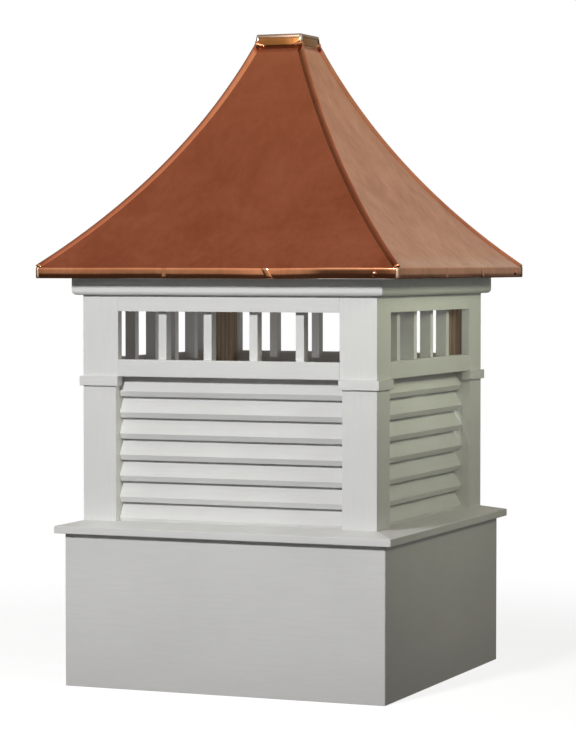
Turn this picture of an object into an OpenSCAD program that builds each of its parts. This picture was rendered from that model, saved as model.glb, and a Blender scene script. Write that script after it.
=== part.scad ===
// Square roof cupola: a plain base box, a projecting ledge, a louvred vent in each
// side with a row of small windows above it, and a swept copper roof with a square cap.
// Front is -Y and right is +X. The origin is the centre of the base's underside.

/* [Base] */
// Width of the square base box
base_w = 762; // [500:2:920]
// Height of the base box
base_h = 343; // [150:1:600]
// Thickness of the base boards
base_board_t = 19; // [12:1:25]
// Side of the square wood block in each corner of the base
base_block = 38; // [25:1:60]

/* [Ledge] */
// How far the ledge stands out past the base
ledge_overhang = 19; // [5:1:40]
// Height of the ledge's outer edge
ledge_edge_h = 16; // [8:1:30]
// Rise of the ledge's sloping top, from its outer edge to the body
ledge_rise = 11; // [3:1:25]

/* [Body] */
// How far the body's faces stand in from the base's faces
body_setback = 31; // [10:1:45]
// Thickness of the body's trim boards
board_t = 19; // [12:1:25]
// Depth, behind the boards, of the louvre jambs and of the wood studs on top of them
stud = 38; // [25:1:45]
// How far the louvre-section posts' boards cover the jambs' inner edges
jamb_cover = 1; // [0:0.5:10]

/* [Louvres] */
// Height of the louvred section, from the ledge to the window rail
louvre_h = 323; // [200:1:450]
// Width of each louvre-section post, on each face
louvre_post_w = 80; // [72:1:120]
// Number of blades in each vent
blade_count = 7; // [4:1:9]
// Thickness of a blade
blade_t = 9.5; // [5:0.5:12]
// Tilt of the blades from upright
blade_tilt = 32; // [25:1:40]
// Height of a blade's front edge
blade_nose_h = 12; // [6:1:14]
// How far the foot of a blade's front edge is cut back
blade_nose_cut = 7; // [0:0.5:8]
// Gap between the backs of the posts' boards and the blades' front edges
blade_gap = 1; // [0.5:0.5:6]
// How far each blade runs up behind the front edge of the one above
blade_lap = 12; // [5:1:18]
// How far the top blade runs up behind the window rail
top_blade_lap = 12; // [4:1:14]
// From the foot of the top blade's front edge to the window rail
blade_head = 45.5; // [36:0.5:50]
// How much of the lowest blade's front edge the ledge hides
blade_sink = 5.7; // [0:0.1:8]

/* [Post bands] */
// Height of the band around the head of each louvre-section post
band_h = 21; // [12:1:30]
// How far the band stands out from the post
band_proud = 7; // [3:1:10]

/* [Windows] */
// Height of the rail under the windows
sill_rail_h = 38; // [30:1:60]
// Height of the window openings
window_h = 107; // [60:1:200]
// Height of the rail over the windows
head_rail_h = 73; // [45:1:110]
// Width of each window-section post, on each face
window_post_w = 86; // [72:1:120]
// Number of upright bars in each window row
bar_count = 4; // [1:1:7]
// Width of a window bar
bar_w = 19; // [12:1:25]
// Depth of a window bar
bar_d = 25; // [12:1:32]
// How far the bars run behind the rails
bar_lap = 15; // [6:1:16]

/* [Cornice and eave] */
// Height of the cornice board under the eave
cornice_h = 37; // [20:1:42]
// Thickness of the cornice board
cornice_t = 19; // [12:1:25]
// Radius of the cornice board's rounded lower edge
cornice_round = 9; // [3:1:10]
// How far the eave stands out from the body
eave_overhang = 77; // [45:1:120]
// Thickness of the eave boards
eave_board_t = 19; // [12:1:22]
// Height of the copper turned down at the eave
fascia_h = 25; // [24:1:40]

/* [Roof] */
// Rise of the roof, from the top of its turned-down edge to the cap
roof_rise = 502; // [350:1:700]
// How far the roof's curve sinks below a straight slope
roof_sweep = 36; // [15:1:50]
// Thickness of the wood roof deck
deck_t = 12; // [9:1:19]
// Thickness of the copper sheet
copper_t = 1.5; // [1:0.1:2]
// Width of a hip seam
seam_w = 8; // [5:1:16]
// Height of a hip seam above the copper
seam_h = 4; // [2:0.5:8]
// Width of the square cap
cap_w = 112; // [80:1:180]
// Height of the cap
cap_h = 27; // [15:1:60]
// Thickness of the cap's sides and top
cap_t = 3; // [2:0.5:6]

/* [Hidden] */

// Sides and corners are numbered anticlockwise from the front and from the front left.
FRONT = 0;
RIGHT = 1;
BACK = 2;
LEFT = 3;
FRONT_LEFT = 0;
FRONT_RIGHT = 1;
BACK_RIGHT = 2;
BACK_LEFT = 3;
SIDES = [FRONT, RIGHT, BACK, LEFT];

PVC = "white";
WOOD = "burlywood";
COPPER = "peru";

// Reach of the cutting shapes past the solid that they cut
over = 10;

// Half-widths, out from the axis
base_half = base_w / 2;
ledge_half = base_half + ledge_overhang;
body_half = base_half - body_setback;
board_in = body_half - board_t;
stud_in = board_in - stud;
jamb_w = louvre_post_w - board_t - jamb_cover;
blade_end = board_in - jamb_w;
window_half = body_half - window_post_w;
eave_half = body_half + eave_overhang;
cap_half = cap_w / 2;

// Heights above the base's underside
ledge_top = base_h + ledge_edge_h + ledge_rise;
louvre_top = ledge_top + louvre_h;
jamb_top = louvre_top + top_blade_lap;
sill_z = louvre_top + sill_rail_h;
head_z = sill_z + window_h;
body_top = head_z + head_rail_h;
deck_z = body_top + eave_board_t;
roof_z = body_top + fascia_h;
neck_z = roof_z + roof_rise;

// Each blade's place, and its length along its slope
blade_pitch = (louvre_h - blade_head + blade_sink) / (blade_count - 1);
blade_rise = blade_pitch - blade_nose_h + blade_lap;
blade_run = blade_rise * tan(blade_tilt);
blade_back = blade_t / cos(blade_tilt);
blade_foot = blade_back - blade_nose_h * tan(blade_tilt);

bar_pitch = (2 * window_half + bar_w) / (bar_count + 1);

// The roof's curve is an arc whose centre stands out beyond the eave.
slope_run = eave_half - cap_half;
slope_chord = norm([slope_run, roof_rise]);
slope_r = pow(slope_chord, 2) / (8 * roof_sweep) + roof_sweep / 2;
slope_centre_out = (eave_half + cap_half) / 2 + (slope_r - roof_sweep) * roof_rise / slope_chord;
slope_centre_z = (roof_z + neck_z) / 2 + (slope_r - roof_sweep) * slope_run / slope_chord;
slope_fn = 720;
round_fn = 48;

// Turns a piece drawn at the front to another side, or at the front left to another corner.
module turned(quarter) {
    rotate([0, 0, 90 * quarter]) children();
}

// Runs a profile, drawn as distance out from the axis and height, along the front side.
module along_front(length) {
    rotate([90, 0, -90]) linear_extrude(height = length, center = true) children();
}

// A block over the front quarter of the plan, between the two diagonals, for mitred ends
module front_wedge(half, z_lo, z_hi) {
    translate([0, 0, z_lo])
        linear_extrude(height = z_hi - z_lo)
            polygon([[0, 0], [-half, -half], [half, -half]]);
}

// A board along the front side, mitred at both ends
module mitred_board(half, thickness, z_lo, height) {
    back = half - thickness;
    translate([0, 0, z_lo])
        linear_extrude(height = height)
            polygon([[-half, -half], [half, -half], [back, -back], [-back, -back]]);
}

// Plan of two boards that meet at the front left corner, each a leg of it
module corner_plan(half, leg, thickness) {
    translate([-half, -half]) {
        square([leg, thickness]);
        square([thickness, leg]);
    }
}

module base_wall(side) {
    color(PVC) turned(side) mitred_board(base_half, base_board_t, 0, base_h);
}

module base_corner_blocks() {
    place = base_half - base_board_t;
    color(WOOD)
        for (corner = SIDES)
            turned(corner) translate([-place, -place, 0]) cube([base_block, base_block, base_h]);
}

module ledge(side) {
    edge_top = base_h + ledge_edge_h;
    color(PVC) turned(side)
        intersection() {
            along_front(2 * ledge_half)
                polygon([
                    [stud_in, base_h], [ledge_half, base_h], [ledge_half, edge_top],
                    [body_half, ledge_top], [stud_in, ledge_top]
                ]);
            front_wedge(ledge_half + over, base_h - over, ledge_top + over);
        }
}

module louvre_post(corner) {
    color(PVC) turned(corner)
        translate([0, 0, ledge_top])
            linear_extrude(height = louvre_h) corner_plan(body_half, louvre_post_w, board_t);
}

module post_bands() {
    outside = body_half + band_proud;
    leg = louvre_post_w + 2 * band_proud;
    color(PVC)
        for (corner = SIDES)
            turned(corner) translate([0, 0, louvre_top - band_h])
                difference() {
                    linear_extrude(height = band_h)
                        corner_plan(outside, leg, band_proud + board_t);
                    translate([0, 0, -over])
                        linear_extrude(height = band_h + 2 * over)
                            corner_plan(body_half, louvre_post_w, board_t);
                }
}

// One blade's profile, from the top of its front edge, as distance out and height
module blade_profile() {
    polygon([
        [0, 0],
        [-blade_nose_cut, -blade_nose_h],
        [-max(blade_foot, blade_nose_cut + 1), -blade_nose_h],
        [-blade_run - blade_back, blade_rise],
        [-blade_run, blade_rise]
    ]);
}

// An L-shaped jamb behind each louvre-section post, to the height of the blades' top
module louvre_jambs() {
    color(PVC)
        for (corner = SIDES)
            turned(corner) translate([0, 0, ledge_top])
                linear_extrude(height = jamb_top - ledge_top)
                    corner_plan(board_in, jamb_w, stud);
}

// The blades span between the jambs, a little behind the posts' boards. They are trimmed
// to the ledge, to the backs of the jambs and behind the foot of the window rail.
module louvre_blades(side) {
    nose_top = ledge_top - blade_sink + blade_nose_h;
    color(PVC) turned(side)
        intersection() {
            for (k = [0 : blade_count - 1])
                translate([0, blade_gap - board_in, nose_top + k * blade_pitch])
                    along_front(2 * board_in) blade_profile();
            translate([-blade_end, -board_in, ledge_top])
                cube([2 * blade_end, stud, jamb_top - ledge_top]);
        }
}

// A stud in each corner of the window section, on top of the jamb. Each one's wider faces
// lie along the wall on its clockwise side.
module corner_studs() {
    color(WOOD)
        for (corner = SIDES)
            turned(corner) translate([-board_in, -board_in, jamb_top])
                cube([stud, jamb_w, body_top - jamb_top]);
}

module window_post(corner) {
    color(PVC) turned(corner)
        translate([0, 0, louvre_top])
            linear_extrude(height = body_top - louvre_top)
                corner_plan(body_half, window_post_w, board_t);
}

module window_rails(side) {
    color(PVC) turned(side)
        translate([-window_half, -body_half, 0]) {
            translate([0, 0, louvre_top]) cube([2 * window_half, board_t, sill_rail_h]);
            translate([0, 0, head_z]) cube([2 * window_half, board_t, head_rail_h]);
        }
}

module window_bars() {
    color(PVC)
        for (side = SIDES)
            turned(side)
                for (k = [1 : bar_count])
                    translate([-window_half - bar_w + k * bar_pitch, -board_in, sill_z - bar_lap])
                        cube([bar_w, bar_d, window_h + 2 * bar_lap]);
}

// The cornice board's profile, with its lower outer edge rounded over
module cornice_profile() {
    flat_t = cornice_t - cornice_round;
    square([flat_t, cornice_h]);
    translate([0, cornice_round]) square([cornice_t, cornice_h - cornice_round]);
    translate([flat_t, cornice_round]) circle(r = cornice_round, $fn = round_fn);
}

module cornice(side) {
    half = body_half + cornice_t;
    foot = body_top - cornice_h;
    color(PVC) turned(side)
        intersection() {
            translate([0, 0, foot])
                along_front(2 * half) translate([body_half, 0]) cornice_profile();
            front_wedge(half + over, foot - over, body_top + over);
        }
}

module eave_board(length) {
    translate([-length / 2, -(eave_half - copper_t), body_top])
        cube([length, eave_half - copper_t - stud_in, eave_board_t]);
}

module eave_boards_front_back() {
    color(PVC)
        for (side = [FRONT, BACK])
            turned(side) eave_board(2 * (eave_half - copper_t));
}

module eave_boards_left_right() {
    color(PVC)
        for (side = [LEFT, RIGHT])
            turned(side) eave_board(2 * stud_in);
}

// The space over the front slope, sunk below the copper's outside by the given depth
module over_front_slope(depth) {
    translate([0, -slope_centre_out, slope_centre_z])
        rotate([0, 90, 0])
            cylinder(r = slope_r + depth, h = 2 * (eave_half + over), center = true, $fn = slope_fn);
}

module roof_deck(side) {
    color(WOOD) turned(side)
        difference() {
            intersection() {
                front_wedge(eave_half - copper_t, deck_z, neck_z);
                over_front_slope(copper_t + deck_t);
            }
            over_front_slope(copper_t);
        }
}

module copper_panel(side) {
    color(COPPER) turned(side)
        difference() {
            front_wedge(eave_half, body_top, neck_z);
            over_front_slope(0);
            difference() {
                translate([-eave_half - over, copper_t - eave_half, body_top - over])
                    cube([2 * (eave_half + over), eave_half, neck_z - body_top + 2 * over]);
                over_front_slope(copper_t);
            }
        }
}

module hip_seams() {
    color(COPPER)
        for (corner = SIDES)
            turned(corner)
                difference() {
                    intersection() {
                        rotate([0, 0, 45])
                            translate([-2 * eave_half, -seam_w / 2, roof_z])
                                cube([2 * eave_half, seam_w, roof_rise]);
                        translate([-eave_half, -eave_half, roof_z])
                            cube([eave_half, eave_half, roof_rise]);
                        union() {
                            over_front_slope(0);
                            turned(LEFT) over_front_slope(0);
                        }
                    }
                    over_front_slope(-seam_h);
                    turned(LEFT) over_front_slope(-seam_h);
                }
}

module roof_cap() {
    inside = cap_half - cap_t;
    color(COPPER)
        translate([0, 0, neck_z])
            difference() {
                translate([-cap_half, -cap_half, 0]) cube([cap_w, cap_w, cap_h]);
                translate([-inside, -inside, -over])
                    cube([2 * inside, 2 * inside, cap_h - cap_t + over]);
            }
}

base_wall(FRONT);  // base_wall_front
base_wall(RIGHT);  // base_wall_right
base_wall(BACK);  // base_wall_back
base_wall(LEFT);  // base_wall_left
base_corner_blocks();
ledge(FRONT);  // ledge_front
ledge(RIGHT);  // ledge_right
ledge(BACK);  // ledge_back
ledge(LEFT);  // ledge_left
louvre_post(FRONT_LEFT);  // louvre_post_front_left
louvre_post(FRONT_RIGHT);  // louvre_post_front_right
louvre_post(BACK_RIGHT);  // louvre_post_back_right
louvre_post(BACK_LEFT);  // louvre_post_back_left
post_bands();
louvre_jambs();
louvre_blades(FRONT);  // louvre_blades_front
louvre_blades(RIGHT);  // louvre_blades_right
louvre_blades(BACK);  // louvre_blades_back
louvre_blades(LEFT);  // louvre_blades_left
corner_studs();
window_post(FRONT_LEFT);  // window_post_front_left
window_post(FRONT_RIGHT);  // window_post_front_right
window_post(BACK_RIGHT);  // window_post_back_right
window_post(BACK_LEFT);  // window_post_back_left
window_rails(FRONT);  // window_rails_front
window_rails(RIGHT);  // window_rails_right
window_rails(BACK);  // window_rails_back
window_rails(LEFT);  // window_rails_left
window_bars();
cornice(FRONT);  // cornice_front
cornice(RIGHT);  // cornice_right
cornice(BACK);  // cornice_back
cornice(LEFT);  // cornice_left
eave_boards_front_back();
eave_boards_left_right();
roof_deck(FRONT);  // roof_deck_front
roof_deck(RIGHT);  // roof_deck_right
roof_deck(BACK);  // roof_deck_back
roof_deck(LEFT);  // roof_deck_left
copper_panel(FRONT);  // copper_panel_front
copper_panel(RIGHT);  // copper_panel_right
copper_panel(BACK);  // copper_panel_back
copper_panel(LEFT);  // copper_panel_left
hip_seams();
roof_cap();
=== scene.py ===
"""Looks of the square roof cupola: white cellular-PVC trim, bare wood inside and a swept copper roof."""

import math

import bmesh
import bpy
from mathutils import Matrix, Vector, noise


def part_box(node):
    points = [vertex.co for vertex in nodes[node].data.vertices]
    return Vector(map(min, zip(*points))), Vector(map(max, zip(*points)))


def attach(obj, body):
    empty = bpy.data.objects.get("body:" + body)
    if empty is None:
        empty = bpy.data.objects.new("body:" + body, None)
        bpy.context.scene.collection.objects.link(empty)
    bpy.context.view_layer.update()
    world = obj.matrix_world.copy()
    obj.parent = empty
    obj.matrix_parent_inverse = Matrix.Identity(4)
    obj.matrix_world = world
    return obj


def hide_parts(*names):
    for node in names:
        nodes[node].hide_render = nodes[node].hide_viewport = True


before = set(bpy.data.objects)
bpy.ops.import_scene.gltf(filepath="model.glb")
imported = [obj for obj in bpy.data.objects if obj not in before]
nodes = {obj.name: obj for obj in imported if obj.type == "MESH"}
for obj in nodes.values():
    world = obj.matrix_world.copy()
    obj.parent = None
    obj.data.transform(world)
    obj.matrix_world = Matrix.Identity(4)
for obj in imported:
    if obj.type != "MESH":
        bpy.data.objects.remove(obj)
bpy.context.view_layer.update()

MM = 0.001
SIDES = ("front", "right", "back", "left")
QUARTER = math.pi / 2

# Places that the frame gives
EAVE_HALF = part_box("copper_panel_front")[1].x
BODY_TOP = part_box("copper_panel_front")[0].z
ROOF_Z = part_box("hip_seams")[0].z
NECK_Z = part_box("roof_cap")[0].z
CAP_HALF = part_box("roof_cap")[1].x
CAP_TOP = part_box("roof_cap")[1].z

# The sweep of the roof: how far its arc sinks below a straight slope
ROOF_SWEEP = 36 * MM


# ---------------------------------------------------------------- small helpers

def link(obj):
    bpy.context.scene.collection.objects.link(obj)
    return obj


def mesh_object(name, vertices, faces, smooth=True):
    mesh = bpy.data.meshes.new(name)
    mesh.from_pydata([tuple(v) for v in vertices], [], faces)
    mesh.validate()
    obj = link(bpy.data.objects.new(name, mesh))
    tidy_mesh(mesh)
    for face in mesh.polygons:
        face.use_smooth = smooth
    return obj


def tidy_mesh(mesh):
    """Joins doubled points and points every face outward."""
    bm = bmesh.new()
    bm.from_mesh(mesh)
    bmesh.ops.remove_doubles(bm, verts=bm.verts, dist=1e-6)
    bmesh.ops.recalc_face_normals(bm, faces=bm.faces)
    bm.to_mesh(mesh)
    bm.free()


def add_piece(obj, material, slot, *replaced):
    obj.data.materials.clear()
    obj.data.materials.append(material)
    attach(obj, "root")
    if replaced:
        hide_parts(*replaced)
    return obj


def turned(point, quarter):
    """Turns a point drawn at the front to another side."""
    return Matrix.Rotation(quarter * QUARTER, 3, "Z") @ Vector(point)


def soften(obj, width, segments=2, angle=40):
    """Rounds the crisp edges of a CAD node a little, as sawn and sanded boards have."""
    weld = obj.modifiers.new("weld", "WELD")
    weld.merge_threshold = 0.02 * MM
    bevel = obj.modifiers.new("edges", "BEVEL")
    bevel.width = width
    bevel.segments = segments
    bevel.limit_method = "ANGLE"
    bevel.angle_limit = math.radians(angle)
    for face in obj.data.polygons:
        face.use_smooth = True
    flatten = obj.modifiers.new("flat_faces", "WEIGHTED_NORMAL")
    flatten.weight = 100
    flatten.keep_sharp = False


# ---------------------------------------------------------------- materials

class Nodes:
    """Shorthand for building a material's nodes."""

    def __init__(self, name):
        self.material = bpy.data.materials.new(name)
        self.material.use_nodes = True
        self.tree = self.material.node_tree
        self.bsdf = self.tree.nodes["Principled BSDF"]
        self.place = self.add("ShaderNodeTexCoord").outputs["Object"]

    def add(self, kind, **settings):
        node = self.tree.nodes.new(kind)
        for key, value in settings.items():
            setattr(node, key, value)
        return node

    def link(self, source, target):
        self.tree.links.new(source, target)

    def stretched(self, scale):
        mapping = self.add("ShaderNodeMapping")
        mapping.inputs["Scale"].default_value = scale
        self.link(self.place, mapping.inputs["Vector"])
        return mapping.outputs["Vector"]

    def noise(self, scale, detail=3.0, roughness=0.5, vector=None, distortion=0.0):
        node = self.add("ShaderNodeTexNoise")
        node.inputs["Scale"].default_value = scale
        node.inputs["Detail"].default_value = detail
        node.inputs["Roughness"].default_value = roughness
        node.inputs["Distortion"].default_value = distortion
        self.link(vector or self.place, node.inputs["Vector"])
        return node.outputs["Fac"]

    def ramp(self, source, *stops):
        """Each stop is a position and a colour or a grey level."""
        node = self.add("ShaderNodeValToRGB")
        elements = node.color_ramp.elements
        while len(elements) < len(stops):
            elements.new(0.5)
        for element, (position, value) in zip(elements, stops):
            level = (value,) * 3 if isinstance(value, (int, float)) else value
            element.position = position
            element.color = (*level, 1)
        self.link(source, node.inputs["Fac"])
        return node.outputs["Color"]

    def mix(self, mode, factor, a, b):
        node = self.add("ShaderNodeMix", data_type="RGBA", blend_type=mode)
        for value, key in ((factor, 0), (a, 6), (b, 7)):
            if isinstance(value, bpy.types.NodeSocket):
                self.link(value, node.inputs[key])
            else:
                node.inputs[key].default_value = value if key == 0 else (*value, 1)
        return node.outputs[2]

    def maths(self, operation, a, b):
        node = self.add("ShaderNodeMath", operation=operation)
        for index, value in enumerate((a, b)):
            if isinstance(value, bpy.types.NodeSocket):
                self.link(value, node.inputs[index])
            else:
                node.inputs[index].default_value = value
        return node.outputs[0]

    def mapped(self, source, low, high, to_low, to_high):
        node = self.add("ShaderNodeMapRange")
        for key, value in (("From Min", low), ("From Max", high), ("To Min", to_low), ("To Max", to_high)):
            node.inputs[key].default_value = value
        self.link(source, node.inputs["Value"])
        return node.outputs["Result"]

    def bump(self, height, distance, strength=1.0, under=None):
        node = self.add("ShaderNodeBump")
        node.inputs["Distance"].default_value = distance
        node.inputs["Strength"].default_value = strength
        self.link(height, node.inputs["Height"])
        if under:
            self.link(under, node.inputs["Normal"])
        return node.outputs["Normal"]

    def finish(self, colour, roughness, normal):
        self.link(colour, self.bsdf.inputs["Base Color"])
        self.link(roughness, self.bsdf.inputs["Roughness"])
        self.link(normal, self.bsdf.inputs["Normal"])
        return self.material


def pvc_material(name, along):
    """Painted-smooth white PVC board, with faint planer ripple across its length, a little dust in flecks,
    and a brownish darkening towards the bottom.
    """
    n = Nodes(name)
    squash = {"x": (0.06, 1, 1), "y": (1, 0.06, 1), "z": (1, 1, 0.06)}[along]
    streak = n.noise(160, 3, 0.6, n.stretched(squash))
    cloud = n.noise(4.5, 4, 0.55)
    speck = n.noise(420, 2, 0.6)
    base = n.ramp(cloud, (0.3, (0.775, 0.775, 0.77)), (0.7, (0.82, 0.82, 0.818)))
    tint = n.ramp(streak, (0.25, 0.955), (0.7, 1.0))
    colour = n.mix("MULTIPLY", 1.0, base, tint)
    flecks = n.ramp(speck, (0.16, (0.72, 0.70, 0.66)), (0.27, (1, 1, 1)))
    colour = n.mix("MULTIPLY", 0.5, colour, flecks)
    height = n.add("ShaderNodeSeparateXYZ")
    n.link(n.place, height.inputs[0])
    # darker and browner in the lowest 10 cm of the board, mottled by the clouds
    near_foot = n.mapped(height.outputs["Z"], 0, 0.10, 1, 0)
    foot_darkening = n.maths("MULTIPLY", near_foot, n.mapped(cloud, 0.35, 0.7, 0.15, 1))
    colour = n.mix("MIX", n.maths("MULTIPLY", foot_darkening, 0.22), colour, (0.52, 0.48, 0.42))
    roughness = n.mapped(n.noise(11, 4, 0.6), 0.3, 0.7, 0.38, 0.52)
    ripple = n.bump(streak, 0.00005)
    normal = n.bump(n.noise(900, 2, 0.5), 0.00003, 1.0, ripple)
    n.bsdf.inputs["Specular IOR Level"].default_value = 0.42
    return n.finish(colour, roughness, normal)


# Each copper's three tones, from its darkest clouds to its brightest
ROSE = ((0.60, 0.235, 0.115), (0.72, 0.30, 0.155), (0.80, 0.36, 0.20))
ORANGE = ((0.33, 0.130, 0.040), (0.41, 0.170, 0.055), (0.48, 0.215, 0.078))
AGED = ((0.33, 0.22, 0.15), (0.42, 0.29, 0.21), (0.52, 0.36, 0.26))


def copper_material(name, dull, tones=ROSE):
    """Handled copper sheet: brown tarnish in clouds and runs, over warm bright metal."""
    n = Nodes(name)
    cloud = n.noise(7, 5, 0.6, distortion=0.4)
    run = n.noise(55, 4, 0.55, n.stretched((1, 1, 0.09)))
    spot = n.noise(260, 3, 0.6)
    metal = n.ramp(cloud, (0.30, tones[0]), (0.52, tones[1]), (0.72, tones[2]))
    tarnish = n.ramp(run, (0.28, (0.80, 0.76, 0.72)), (0.62, (1, 1, 1)))
    colour = n.mix("MULTIPLY", 0.6, metal, tarnish)
    freckle = n.ramp(spot, (0.22, (0.55, 0.42, 0.34)), (0.34, (1, 1, 1)))
    colour = n.mix("MULTIPLY", 0.55, colour, freckle)
    height = n.add("ShaderNodeSeparateXYZ")
    n.link(n.place, height.inputs[0])
    # handling has polished the turned-down edge
    worn = n.mapped(height.outputs["Z"], ROOF_Z - 2 * MM, ROOF_Z + 25 * MM, 0.5, 1.0)
    rough = n.maths(
        "ADD", n.mapped(cloud, 0.25, 0.75, dull + 0.07, dull), n.mapped(run, 0.3, 0.7, 0.05, 0.0))
    roughness = n.maths("MULTIPLY", rough, worn)
    low = n.bump(n.noise(16, 3, 0.5), 0.0006)
    normal = n.bump(n.noise(240, 3, 0.55), 0.000035, 1.0, low)
    n.bsdf.inputs["Metallic"].default_value = 1.0
    return n.finish(colour, roughness, normal)


def wood_material(name, light, dark, along):
    """Bare softwood: growth-ring bands and fine pores drawn out along the grain."""
    n = Nodes(name)
    squash = {"x": (0.05, 1, 1), "y": (1, 0.05, 1), "z": (1, 1, 0.05)}[along]
    drawn = n.stretched(squash)
    rings = n.add("ShaderNodeTexWave", wave_type="RINGS", rings_direction=along.upper())
    rings.inputs["Scale"].default_value = 38
    rings.inputs["Distortion"].default_value = 5
    rings.inputs["Detail"].default_value = 3
    rings.inputs["Detail Scale"].default_value = 1.4
    n.link(drawn, rings.inputs["Vector"])
    pores = n.noise(420, 3, 0.6, drawn)
    colour = n.ramp(rings.outputs["Fac"], (0.15, light), (0.85, dark))
    streaks = n.ramp(pores, (0.3, (0.72, 0.66, 0.60)), (0.6, (1, 1, 1)))
    colour = n.mix("MULTIPLY", 0.8, colour, streaks)
    roughness = n.mapped(pores, 0.3, 0.7, 0.78, 0.62)
    normal = n.bump(pores, 0.00025)
    return n.finish(colour, roughness, normal)


def solder_material(name, dark, light, dull):
    """Smoothed tin solder over copper, a little dulled."""
    n = Nodes(name)
    smear = n.noise(300, 3, 0.6)
    colour = n.ramp(smear, (0.3, dark), (0.7, light))
    roughness = n.mapped(smear, 0.3, 0.7, dull + 0.12, dull)
    normal = n.bump(n.noise(700, 2, 0.5), 0.00004)
    n.bsdf.inputs["Metallic"].default_value = 1.0
    return n.finish(colour, roughness, normal)


PVC = {along: pvc_material("pvc_along_" + along, along) for along in "xyz"}
COPPER = copper_material("copper_sheet", 0.24)
COPPER_SEAM = copper_material("copper_seams", 0.28)
COPPER_BRIGHT = copper_material("copper_folds", 0.17)
COPPER_ORANGE = copper_material("copper_cap_sides", 0.09, ORANGE)
COPPER_AGED = copper_material("copper_cap_lid", 0.32, AGED)
STUD_WOOD = wood_material("stud_wood", (0.52, 0.40, 0.30), (0.37, 0.275, 0.20), "z")
DECK_WOOD = wood_material("deck_wood", (0.56, 0.40, 0.25), (0.43, 0.29, 0.165), "x")
SOLDER = solder_material("solder", (0.62, 0.53, 0.44), (0.80, 0.73, 0.66), 0.24)
SOLDER_TAN = solder_material("solder_tan", (0.40, 0.26, 0.17), (0.60, 0.43, 0.31), 0.42)


# ---------------------------------------------------------------- the roof's curve

def slope_arc():
    """Radius and centre, as distance out and height, of the roof's hollow curve."""
    run = EAVE_HALF - CAP_HALF
    rise = NECK_Z - ROOF_Z
    chord = math.hypot(run, rise)
    radius = chord * chord / (8 * ROOF_SWEEP) + ROOF_SWEEP / 2
    shift = (radius - ROOF_SWEEP) / chord
    centre_out = (EAVE_HALF + CAP_HALF) / 2 + shift * rise
    centre_z = (ROOF_Z + NECK_Z) / 2 + shift * run
    return radius, centre_out, centre_z


ARC_R, ARC_OUT, ARC_Z = slope_arc()


def slope_height(out):
    return ARC_Z - math.sqrt(ARC_R ** 2 - (ARC_OUT - out) ** 2)


def slope_normal(out):
    """Outward normal of the slope, as distance out and height."""
    z = slope_height(out)
    return (ARC_OUT - out) / ARC_R, (ARC_Z - z) / ARC_R


# How far a hip seam runs in under the cap
UNDER_CAP = 1.6 * MM


def slope_outs(count):
    """Distances out, evenly spaced along the arc from the eave to just inside the cap."""
    start = math.asin((ARC_OUT - EAVE_HALF) / ARC_R)
    end = math.asin((ARC_OUT - CAP_HALF + UNDER_CAP) / ARC_R)
    return [ARC_OUT - ARC_R * math.sin(start + (end - start) * i / count) for i in range(count + 1)]


# ---------------------------------------------------------------- sheet metal

def sheet_shell(name, rows, thickness):
    """A closed shell over a grid of points: the grid is its outside, and its inside is a thickness in."""
    count_r, count_c = len(rows), len(rows[0])

    def lean(r, c):
        along = rows[min(r + 1, count_r - 1)][c] - rows[max(r - 1, 0)][c]
        across = rows[r][min(c + 1, count_c - 1)] - rows[r][max(c - 1, 0)]
        return across.cross(along).normalized()

    outside = [rows[r][c] for r in range(count_r) for c in range(count_c)]
    inside = [rows[r][c] - lean(r, c) * thickness for r in range(count_r) for c in range(count_c)]
    half = len(outside)
    faces = []
    for r in range(count_r - 1):
        for c in range(count_c - 1):
            a = r * count_c + c
            quad = (a, a + 1, a + 1 + count_c, a + count_c)
            faces.append(quad)
            faces.append(tuple(half + i for i in reversed(quad)))
    rim = list(range(count_c))
    rim += [r * count_c + count_c - 1 for r in range(1, count_r)]
    rim += [(count_r - 1) * count_c + c for c in range(count_c - 2, -1, -1)]
    rim += [r * count_c for r in range(count_r - 2, 0, -1)]
    for a, b in zip(rim, rim[1:] + rim[:1]):
        faces.append((b, a, half + a, half + b))
    return mesh_object(name, outside + inside, faces)


SHEET = 1.0 * MM
THIN_SHEET = 0.6 * MM
# How far out the turned-down edge stands, and how far out a hip seam may reach
FASCIA_OUT = EAVE_HALF + 0.9 * MM
EDGE = FASCIA_OUT + 0.7 * MM
SLOPE_ROWS = 76
PANEL_COLUMNS = 104
# Above 1, this brings the rows of a slope closer together near the eave
ROW_CROWDING = 1.35

# The turned-down edge, in mm: how far it stands out from its face, and heights over its foot
# and then under the bend at its head
FASCIA_FOOT = (
    (-2.1, 0.3), (-1.7, 0.4), (-1.3, 1.0), (-1.05, 2.0), (-0.85, 3.6), (-0.58, 5.4), (-0.28, 7.4),
    (-0.08, 9.4), (0, 11.4), (0, 14), (0, 16.5))
FASCIA_HEAD = (
    (0, -5.6), (-0.1, -3.9), (-0.3, -2.4), (-0.65, -1.3), (-1.1, -0.5), (-1.7, 0.2), (-2.5, 1.0))

# Dents above the right eave: distance along the eave, up the slope, half-length, half-height, depth
RIGHT_DENTS = (
    (18, 6, 34, 5, 1.3),
    (-110, 7, 20, 5, 1.0),
    (146, 13, 13, 8, 1.5),
    (128, 22, 8, 8, 0.9),
)


def fascia_profile():
    """The turned-down edge: its foot turned under, a face and a tight bend at its head."""
    foot = [(FASCIA_OUT + stand * MM, BODY_TOP + z * MM) for stand, z in FASCIA_FOOT]
    head = [(FASCIA_OUT + stand * MM, ROOF_Z + z * MM) for stand, z in FASCIA_HEAD]
    return foot + head


def slope_profile():
    """The slope, with its rows closer together near the eave, where the sheet is buckled."""
    first = EAVE_HALF - 4 * MM
    run = first - CAP_HALF
    outs = [first - run * (i / SLOPE_ROWS) ** ROW_CROWDING for i in range(SLOPE_ROWS + 1)]
    return [(out, slope_height(out)) for out in outs]


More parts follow.
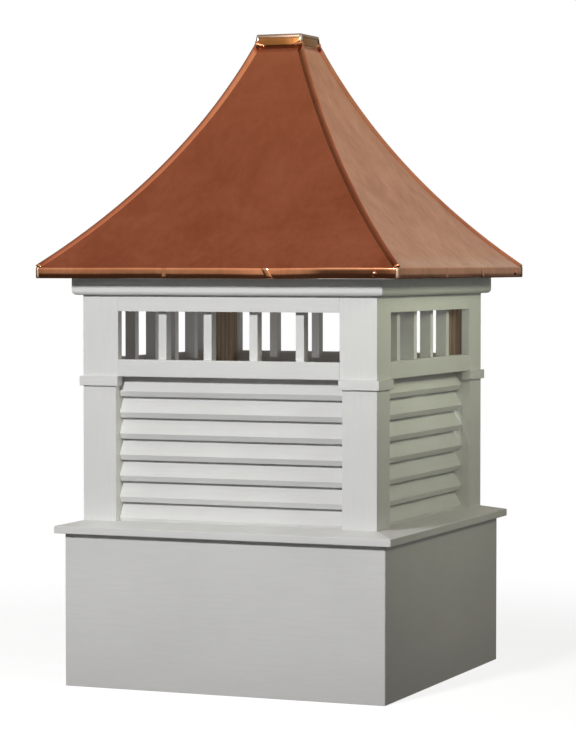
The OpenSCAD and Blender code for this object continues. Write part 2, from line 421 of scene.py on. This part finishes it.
# Along the front edge, in mm: a stretch that leans back most, and where the edge starts to tip forward
BACK_AT, BACK_HALF = 120, 75
TIPPED_FROM, TIPPED_BLEND = 238, 7


def fascia_lean(side, across):
    """How far the turned-down edge leans back from upright, as a slope. It differs along each side."""
    place = across / MM
    lean = 0.035 * noise.noise(Vector((across * 5.5, side * 3.7 + 0.2, 0.9)))
    if side == 0:
        lean += 0.06 * math.exp(-((place - BACK_AT) / BACK_HALF) ** 2)
        lean -= 0.066 / (1 + math.exp((TIPPED_FROM - place) / TIPPED_BLEND))
    return lean


# The thin sheet's unevenness: broad and fine waves, buckles along the eave and how far up they reach
BROAD_WAVE, FINE_WAVE = 0.9 * MM, 0.35 * MM
BUCKLE, BUCKLE_REACH = 0.9 * MM, 28 * MM
EDGE_WAVE = 0.25 * MM


def sheet_wave(side, across, out, z, on_slope):
    """How far the thin sheet stands off its true shape, in metres."""
    place = Vector((across, out, z + 3 * side))
    edge = min(1, (out - abs(across)) / (30 * MM))
    if not on_slope:
        back = fascia_lean(side, across) * (z - (BODY_TOP + ROOF_Z) / 2) * edge
        return -back + EDGE_WAVE * noise.noise(Vector((across * 7, z * 9, side * 5.3 + 0.7))) * edge
    up = math.hypot(EAVE_HALF - out, z - ROOF_Z)
    neck = min(1, (NECK_Z - z) / (40 * MM))
    canning = BROAD_WAVE * noise.noise(place * 5.5) + FINE_WAVE * noise.noise(place * 15)
    buckle = BUCKLE * noise.noise(Vector((across * 14, side * 4.1, 0.3))) * math.exp(-up / BUCKLE_REACH)
    start = min(1, up / (6 * MM))
    wave = (canning * min(1, up / (60 * MM)) + buckle * start) * edge * neck
    if side == 1:
        for place_along, place_up, half_long, half_high, depth in RIGHT_DENTS:
            spread = ((across / MM - place_along) / half_long) ** 2 + ((up / MM - place_up) / half_high) ** 2
            wave -= depth * MM * math.exp(-1.6 * spread)
    return wave


def copper_panel(side):
    """One roof slope and its turned-down edge, from a single sheet mitred at the hips."""
    fascia = fascia_profile()
    slope = slope_profile()
    profile = fascia + slope
    rows = []
    for index, (out, z) in enumerate(profile):
        on_slope = index >= len(fascia)
        before = profile[max(index - 1, 0)]
        after = profile[min(index + 1, len(profile) - 1)]
        run, rise = after[0] - before[0], after[1] - before[1]
        length = math.hypot(run, rise)
        normal_out, normal_z = rise / length, -run / length
        row = []
        for column in range(PANEL_COLUMNS + 1):
            across = out * (2 * column / PANEL_COLUMNS - 1)
            wave = sheet_wave(side, across, out, z, on_slope)
            point = (across, -(out + normal_out * wave), z + normal_z * wave)
            row.append(turned(point, side))
        rows.append(row)
    panel = sheet_shell("copper_roof_" + SIDES[side], rows, SHEET)
    return add_piece(panel, COPPER, "copper", "copper_panel_" + SIDES[side])


SEAM_STATIONS = 64
# Across a hip seam, in mm: how far across, and how far it stands off the two slopes
SEAM_HALF = ((8.5, 0.15), (8.1, 0.6), (6.2, 2.0), (4.4, 3.3), (3.4, 3.8), (2.0, 4.1), (0.7, 4.2))
SEAM_SECTION = [(-across * MM, stand * MM) for across, stand in SEAM_HALF]
SEAM_SECTION += [(across * MM, stand * MM) for across, stand in reversed(SEAM_HALF)]


def hip_seam(corner):
    """A folded seam down one hip, with steep sides and a rounded top."""
    rows = []
    for out in slope_outs(SEAM_STATIONS):
        normal_out, normal_z = slope_normal(out)
        # the hip climbs more gently than the slopes that it joins
        hip_out, hip_z = normal_out / math.sqrt(2), normal_z
        size = math.hypot(hip_out, hip_z)
        row = []
        for across, stand in SEAM_SECTION:
            outer = min(out + abs(across) / math.sqrt(2), EAVE_HALF)
            reach = out + stand * hip_out / size
            x = max(-reach + across / math.sqrt(2), -EDGE)
            y = max(-reach - across / math.sqrt(2), -EDGE)
            row.append(turned((x, y, slope_height(outer) + stand * hip_z / size), corner))
        rows.append(row)
    seam = sheet_shell(f"hip_fold_{corner}", rows, THIN_SHEET)
    return add_piece(seam, COPPER_SEAM, "copper")


# Half of the plan of a soldered fascia corner, in mm: how far along from the corner, and stand-off
CORNER_PLAN = ((7.5, 0.1), (7.0, 0.6), (5.2, 0.9), (3.6, 0.7), (2.2, 0.2), (1.1, -0.5))
# Up it, in mm: heights over its foot, and how far it draws in there
CORNER_RISE = ((0.4, 1.5), (1.4, 0.5), (4, 0), (11, 0.15), (18, 0), (22.5, 0), (24.4, 0.8), (25.4, 2.6))


def corner_bead(corner):
    """The soldered joint down a corner of the turned-down edge."""
    wrap = [(-EDGE + along * MM, -FASCIA_OUT - stand * MM) for along, stand in CORNER_PLAN]
    wrap += [(y, x) for x, y in reversed(wrap)]
    rows = []
    for height, pull in CORNER_RISE:
        z = BODY_TOP + height * MM
        rows.append([turned((x + pull * MM, y + pull * MM, z), corner) for x, y in wrap])
    strip = sheet_shell(f"corner_bead_{corner}", rows, THIN_SHEET)
    return add_piece(strip, SOLDER_TAN, "copper")


# The laps in each side's turned-down edge: place along it, half-width and lift in mm, and slant
LAPS = ((-116, 5, 0.35, 0.05), (127, 8, 0.8, -0.5))
# Up a lap: heights over its foot in mm, and its stand-off there as a share of its lift
LAP_RISE = ((0.8, -0.6), (2.0, 0.1), (6, 0.25), (12, 0.3), (18, 0.25), (22.5, 0.1), (24.2, -0.6))
LAP_MIDDLE = 12
LAP_STEPS = 12


def fascia_lap(side, index):
    """The lap where two lengths of the turned-down edge meet, dressed down over the joint."""
    place, half, lift, slant = LAPS[index]
    rows = []
    for level, stand in LAP_RISE:
        row = []
        for step in range(LAP_STEPS + 1):
            share = 2 * step / LAP_STEPS - 1
            swell = math.cos(share * QUARTER) ** 0.8 * lift
            across = place + share * half + (level - LAP_MIDDLE) * slant
            out = FASCIA_OUT + (stand * lift + swell - 0.25) * MM
            row.append(turned((across * MM, -out, BODY_TOP + level * MM), side))
        rows.append(row)
    lap = sheet_shell(f"fascia_lap_{SIDES[side]}_{index}", rows, 0.5 * MM)
    return add_piece(lap, COPPER_BRIGHT, "copper")


def rivet_head(centre, side, radius, height, sides=16, rings=4):
    """A domed rivet head, standing off the front and turned to its side."""
    vertices = []
    for ring in range(rings):
        angle = 0.5 * math.pi * ring / rings
        for s in range(sides):
            around = 2 * math.pi * s / sides
            flat = radius * math.cos(angle)
            vertices.append(turned((
                centre[0] + flat * math.cos(around),
                centre[1] - height * math.sin(angle),
                centre[2] + flat * math.sin(around)), side))
    tip, back = len(vertices), len(vertices) + 1
    vertices.append(turned((centre[0], centre[1] - height, centre[2]), side))
    vertices.append(turned((centre[0], centre[1] + 0.5 * MM, centre[2]), side))
    faces = []
    for ring in range(rings - 1):
        for s in range(sides):
            a, b = ring * sides + s, ring * sides + (s + 1) % sides
            faces.append((a, b, b + sides, a + sides))
    last = (rings - 1) * sides
    for s in range(sides):
        after = (s + 1) % sides
        faces.append((last + s, last + after, tip))
        faces.append((after, s, back))
    return mesh_object("rivet", vertices, faces)


def joined(name, pieces):
    """Joins small like pieces into one object."""
    bm = bmesh.new()
    for piece in pieces:
        bm.from_mesh(piece.data)
        mesh = piece.data
        bpy.data.objects.remove(piece)
        bpy.data.meshes.remove(mesh)
    mesh = bpy.data.meshes.new(name)
    bm.to_mesh(mesh)
    bm.free()
    for face in mesh.polygons:
        face.use_smooth = True
    return link(bpy.data.objects.new(name, mesh))


RIVET_ALONG = 372 * MM
RIVET_R = 6.5 * MM
RIVET_H = 2.6 * MM


def fascia_rivets():
    """A rivet in each side of the turned-down edge, near one corner."""
    rivets = []
    for side in range(4):
        centre = (RIVET_ALONG, -FASCIA_OUT, (BODY_TOP + ROOF_Z) / 2 - 1 * MM)
        rivets.append(rivet_head(centre, side, RIVET_R, RIVET_H))
    return add_piece(joined("fascia_rivets", rivets), COPPER_BRIGHT, "copper")


# ---------------------------------------------------------------- the cap

def rounded_square(half, corner_r, steps=4):
    """Points round a square with rounded corners, anticlockwise."""
    points = []
    for quarter in range(4):
        middle = Matrix.Rotation(quarter * QUARTER, 2) @ Vector((half - corner_r, half - corner_r))
        for step in range(steps + 1):
            angle = quarter * QUARTER + QUARTER * step / steps
            points.append(middle + corner_r * Vector((math.cos(angle), math.sin(angle))))
    return points


def lofted(name, sections):
    """A solid lofted through level sections, each a half-width, a corner radius and a height."""
    vertices, faces = [], []
    for half, corner_r, z in sections:
        vertices += [(p.x, p.y, z) for p in rounded_square(half, corner_r)]
    ring = len(vertices) // len(sections)
    for level in range(len(sections) - 1):
        for i in range(ring):
            a, b = level * ring + i, level * ring + (i + 1) % ring
            faces.append((a, b, b + ring, a + ring))
    faces.append(tuple(reversed(range(ring))))
    faces.append(tuple(range(len(vertices) - ring, len(vertices))))
    return mesh_object(name, vertices, faces)


def cap_skirt():
    """The cap's sides, drawn in a little towards the lid."""
    half = CAP_HALF
    low = NECK_Z
    sections = (
        (half - 2.4 * MM, 2 * MM, low - 1.0 * MM),
        (half - 0.9 * MM, 2 * MM, low - 0.8 * MM),
        (half - 0.6 * MM, 2.2 * MM, low - 0.2 * MM),
        (half - 0.6 * MM, 2.2 * MM, low + 4 * MM),
        (half - 0.6 * MM, 2.2 * MM, low + 12 * MM),
        (half - 0.8 * MM, 2.2 * MM, CAP_TOP - 8.6 * MM),
        (half - 1.4 * MM, 2 * MM, CAP_TOP - 4 * MM),
    )
    skirt = lofted("cap_skirt", sections)
    return add_piece(skirt, COPPER_ORANGE, "copper", "roof_cap")


def cap_lid():
    """The lid, folded down over the head of the skirt."""
    half = CAP_HALF - 0.4 * MM
    top = CAP_TOP
    sections = (
        (half - 1.0 * MM, 1.8 * MM, top - 8.2 * MM),
        (half - 0.2 * MM, 2 * MM, top - 8.3 * MM),
        (half, 2.2 * MM, top - 8.0 * MM),
        (half - 0.5 * MM, 2.2 * MM, top - 4 * MM),
        (half - 0.8 * MM, 2.4 * MM, top - 1.6 * MM),
        (half - 1.3 * MM, 2.6 * MM, top - 0.5 * MM),
        (half - 2.6 * MM, 3 * MM, top),
    )
    lid = lofted("cap_lid", sections)
    return add_piece(lid, COPPER_AGED, "copper")


# An ear's upper edge, in mm: how far along from the corner, and height over the neck
EAR_EDGE = ((-1.2, 12.5), (2, 12.5), (6, 11), (11, 8), (17, 5), (22, 2.2))
EAR_FOOT = 0.3
EAR_STAND = 2.6
# Where an ear would lie flat against the skirt, if it ran on that far
EAR_FADE = 28
EAR_STEPS = 8


def cap_corner_folds():
    """Folded ears of the skirt's sheet, pressed down either side of each corner at the neck."""
    folds = []
    for corner in range(4):
        for flip in (1, -1):
            rows = []
            for along, high in EAR_EDGE:
                row = []
                for step in range(EAR_STEPS + 1):
                    share = step / EAR_STEPS
                    level = high + (EAR_FOOT - high) * share
                    swell = math.sin(math.pi * (0.08 + 0.72 * share))
                    stand = EAR_STAND * swell * (1 - max(along, 0) / EAR_FADE) * MM
                    out = CAP_HALF - 1.1 * MM + stand
                    place = (-out + along * MM, -out, NECK_Z + level * MM)
                    if flip < 0:
                        place = (-out, -out + along * MM, NECK_Z + level * MM)
                    row.append(turned(place, corner))
                rows.append(row)
            folds.append(sheet_shell("ear", rows[::flip], THIN_SHEET))
    return add_piece(joined("cap_corner_folds", folds), COPPER_BRIGHT, "copper")


BEAD_STEPS = 12


def cap_solder():
    """A smear of smoothed solder down each corner of the cap, from the lid's edge."""
    beads = []
    for corner in range(4):
        rows = []
        for level in range(BEAD_STEPS + 1):
            share = level / BEAD_STEPS
            swell = (1.0 + 2.4 * math.sin(math.pi * share) ** 0.6) * MM
            middle = -CAP_HALF + (3.4 + 1.2 * share) * MM
            row = []
            for step in range(BEAD_STEPS + 1):
                angle = math.pi + QUARTER * (1.5 * step / BEAD_STEPS - 0.25)
                row.append(turned((
                    middle + (swell + 1.4 * MM) * math.cos(angle),
                    middle + (swell + 1.4 * MM) * math.sin(angle),
                    CAP_TOP - (21 - 20.6 * share) * MM), corner))
            rows.append(row)
        beads.append(sheet_shell("bead", rows, 0.5 * MM))
    return add_piece(joined("cap_solder", beads), SOLDER, "copper")


for side_index in range(4):
    copper_panel(side_index)
    hip_seam(side_index)
    corner_bead(side_index)
    for lap_index in range(len(LAPS)):
        fascia_lap(side_index, lap_index)
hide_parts("hip_seams")
fascia_rivets()
cap_skirt()
cap_lid()
cap_corner_folds()
cap_solder()


# ---------------------------------------------------------------- boards and studs from the frame

def dress(node, material, edge=1.2 * MM):
    """Gives a CAD node its material and slightly rounded edges."""
    obj = nodes[node]
    obj.data.materials.clear()
    obj.data.materials.append(material)
    soften(obj, edge)


for side_name in SIDES:
    along = "x" if side_name in ("front", "back") else "y"
    for family in ("base_wall_", "ledge_", "louvre_blades_", "window_rails_", "cornice_"):
        dress(family + side_name, PVC[along], 0.8 * MM if family == "louvre_blades_" else 1.4 * MM)
    dress("roof_deck_" + side_name, DECK_WOOD, 0.4 * MM)
for corner_name in ("front_left", "front_right", "back_right", "back_left"):
    dress("louvre_post_" + corner_name, PVC["z"])
    dress("window_post_" + corner_name, PVC["z"])
dress("post_bands", PVC["x"], 1.6 * MM)
dress("louvre_jambs", PVC["z"], 0.8 * MM)
dress("window_bars", PVC["z"], 1.0 * MM)
dress("eave_boards_front_back", PVC["x"])
dress("eave_boards_left_right", PVC["y"])
dress("corner_studs", STUD_WOOD, 1.0 * MM)
dress("base_corner_blocks", STUD_WOOD, 1.0 * MM)


# ---------------------------------------------------------------- camera, floor and light

CAMERA_TURN = math.radians(22.4)
CAMERA_DISTANCE = 6.381
CAMERA_HEIGHT = 0.947
AIM_HEIGHT = 0.694
FOCAL_LENGTH = 134.2
FLOOR_HALF = 12
FLOOR_Z = -0.0005


def aimed(obj, target):
    obj.rotation_euler = (Vector(target) - obj.location).to_track_quat("-Z", "Y").to_euler()
    return obj


def add_camera():
    data = bpy.data.cameras.new("camera")
    data.lens = FOCAL_LENGTH
    data.sensor_width = 36
    data.clip_end = 60
    camera = link(bpy.data.objects.new("camera", data))
    camera.location = (
        CAMERA_DISTANCE * math.sin(CAMERA_TURN), -CAMERA_DISTANCE * math.cos(CAMERA_TURN), CAMERA_HEIGHT)
    aimed(camera, (0, 0, AIM_HEIGHT))
    bpy.context.scene.camera = camera


def add_floor():
    """A pale floor that brightens to plain white away from the cupola. It throws little light back."""
    material = bpy.data.materials.new("studio_floor")
    material.use_nodes = True
    tree = material.node_tree
    tree.nodes.clear()

    def node(kind):
        return tree.nodes.new(kind)

    place = node("ShaderNodeTexCoord")
    far = node("ShaderNodeVectorMath")
    far.operation = "LENGTH"
    fade = node("ShaderNodeMapRange")
    fade.interpolation_type = "SMOOTHSTEP"
    fade.inputs["From Min"].default_value = 0.7
    fade.inputs["From Max"].default_value = 2.2
    grain = node("ShaderNodeTexNoise")
    grain.inputs["Scale"].default_value = 40
    pale = node("ShaderNodeValToRGB")
    pale.color_ramp.elements[0].color = (0.40, 0.40, 0.40, 1)
    pale.color_ramp.elements[1].color = (0.44, 0.44, 0.44, 1)
    diffuse = node("ShaderNodeBsdfDiffuse")
    glow = node("ShaderNodeEmission")
    glow.inputs["Strength"].default_value = 0.82
    white = node("ShaderNodeEmission")
    near = node("ShaderNodeAddShader")
    mixed = node("ShaderNodeMixShader")
    out = node("ShaderNodeOutputMaterial")
    for source, target in (
        (place.outputs["Object"], far.inputs[0]),
        (far.outputs["Value"], fade.inputs["Value"]),
        (place.outputs["Object"], grain.inputs["Vector"]),
        (grain.outputs["Fac"], pale.inputs["Fac"]),
        (pale.outputs["Color"], diffuse.inputs["Color"]),
        (diffuse.outputs[0], near.inputs[0]),
        (glow.outputs[0], near.inputs[1]),
        (fade.outputs["Result"], mixed.inputs["Fac"]),
        (near.outputs[0], mixed.inputs[1]),
        (white.outputs[0], mixed.inputs[2]),
        (mixed.outputs[0], out.inputs["Surface"]),
    ):
        tree.links.new(source, target)
    signs = ((-1, -1), (1, -1), (1, 1), (-1, 1))
    corners = [(x * FLOOR_HALF, y * FLOOR_HALF, FLOOR_Z) for x, y in signs]
    floor = mesh_object("studio_floor", corners, [(0, 1, 2, 3)], smooth=False)
    floor.data.materials.append(material)
    floor.visible_diffuse = False
    floor.visible_glossy = False


def add_world():
    """A white backdrop to look at, over a dim studio for light and reflections."""
    world = bpy.data.worlds.new("studio")
    bpy.context.scene.world = world
    world.use_nodes = True
    tree = world.node_tree
    tree.nodes.clear()

    def node(kind, **settings):
        made = tree.nodes.new(kind)
        for key, value in settings.items():
            setattr(made, key, value)
        return made

    def ramped(source, low, high):
        made = node("ShaderNodeMapRange", interpolation_type="SMOOTHSTEP")
        made.inputs["From Min"].default_value = low
        made.inputs["From Max"].default_value = high
        tree.links.new(source, made.inputs["Value"])
        return made.outputs["Result"]

    def mixed(factor, a, b):
        made = node("ShaderNodeMix", data_type="RGBA")
        tree.links.new(factor, made.inputs[0])
        for value, key in ((a, 6), (b, 7)):
            if isinstance(value, bpy.types.NodeSocket):
                tree.links.new(value, made.inputs[key])
            else:
                made.inputs[key].default_value = (*value, 1)
        return made.outputs[2]

    split = node("ShaderNodeSeparateXYZ")
    tree.links.new(node("ShaderNodeTexCoord").outputs["Generated"], split.inputs[0])
    x, y, z = split.outputs
    horizon = (0.50, 0.49, 0.45)
    card = (0.84, 0.80, 0.72)
    behind = mixed(ramped(z, 0.06, 0.28), (0.38, 0.38, 0.33), (0.56, 0.56, 0.48))
    left = (0.07, 0.05, 0.04)
    overhead = mixed(ramped(x, -0.05, 0.35), (0.335, 0.22, 0.195), (0.66, 0.46, 0.42))
    below = (0.05, 0.045, 0.04)
    front = mixed(ramped(z, 0.02, 0.16), horizon, card)
    front = mixed(ramped(x, 0.5, 0.8), front, card)
    ring = mixed(ramped(y, -0.1, 0.5), front, behind)
    upper = mixed(ramped(z, 0.38, 0.72), ring, overhead)
    upper = mixed(ramped(x, -0.55, -0.8), upper, left)
    colour = mixed(ramped(z, -0.14, 0.02), below, upper)
    mirrored = node("ShaderNodeBackground")
    tree.links.new(colour, mirrored.inputs["Color"])
    # what lights the boards: little from above, more from level with them and behind
    level = ramped(z, 0.55, 0.0)
    spread = mixed(ramped(y, 0.0, 0.6), (0.12, 0.12, 0.12), (0.24, 0.24, 0.21))
    soft = mixed(level, (0.09, 0.09, 0.09), spread)
    ground = mixed(ramped(z, -0.25, 0.0), (0.075, 0.075, 0.07), soft)
    lighting = node("ShaderNodeBackground")
    tree.links.new(ground, lighting.inputs["Color"])
    white = node("ShaderNodeBackground")
    white.inputs["Color"].default_value = (1, 1, 1, 1)
    rays = node("ShaderNodeLightPath")
    dim = node("ShaderNodeMixShader")
    tree.links.new(rays.outputs["Is Diffuse Ray"], dim.inputs["Fac"])
    tree.links.new(mirrored.outputs[0], dim.inputs[1])
    tree.links.new(lighting.outputs[0], dim.inputs[2])
    choice = node("ShaderNodeMixShader")
    out = node("ShaderNodeOutputWorld")
    tree.links.new(rays.outputs["Is Camera Ray"], choice.inputs["Fac"])
    tree.links.new(dim.outputs[0], choice.inputs[1])
    tree.links.new(white.outputs[0], choice.inputs[2])
    tree.links.new(choice.outputs[0], out.inputs["Surface"])


def add_light(name, place, target, size, power, colour=(1, 1, 1), spread=180):
    data = bpy.data.lights.new(name, "AREA")
    data.spread = math.radians(spread)
    data.shape = "RECTANGLE"
    data.size, data.size_y = size
    data.energy = power
    data.color = colour
    light = link(bpy.data.objects.new(name, data))
    light.location = place
    aimed(light, target)
    light.visible_camera = False
    return light


add_camera()
add_floor()
add_world()
add_light("key", (-0.15, -3.15, 1.84), (0, 0, 0.7), (0.36, 0.26), 63)
fill = add_light("fill_right", (2.3, -0.7, 1.9), (0.3, 0, 1.12), (0.8, 0.8), 2.4, (0.95, 1.0, 0.72), 44)
fill.visible_glossy = False
inner = add_light("inner", (0, 0, 0.5), (0, 0, 1), (0.3, 0.3), 0.5)
inner.visible_glossy = False
bpy.context.scene.view_settings.view_transform = "Standard"
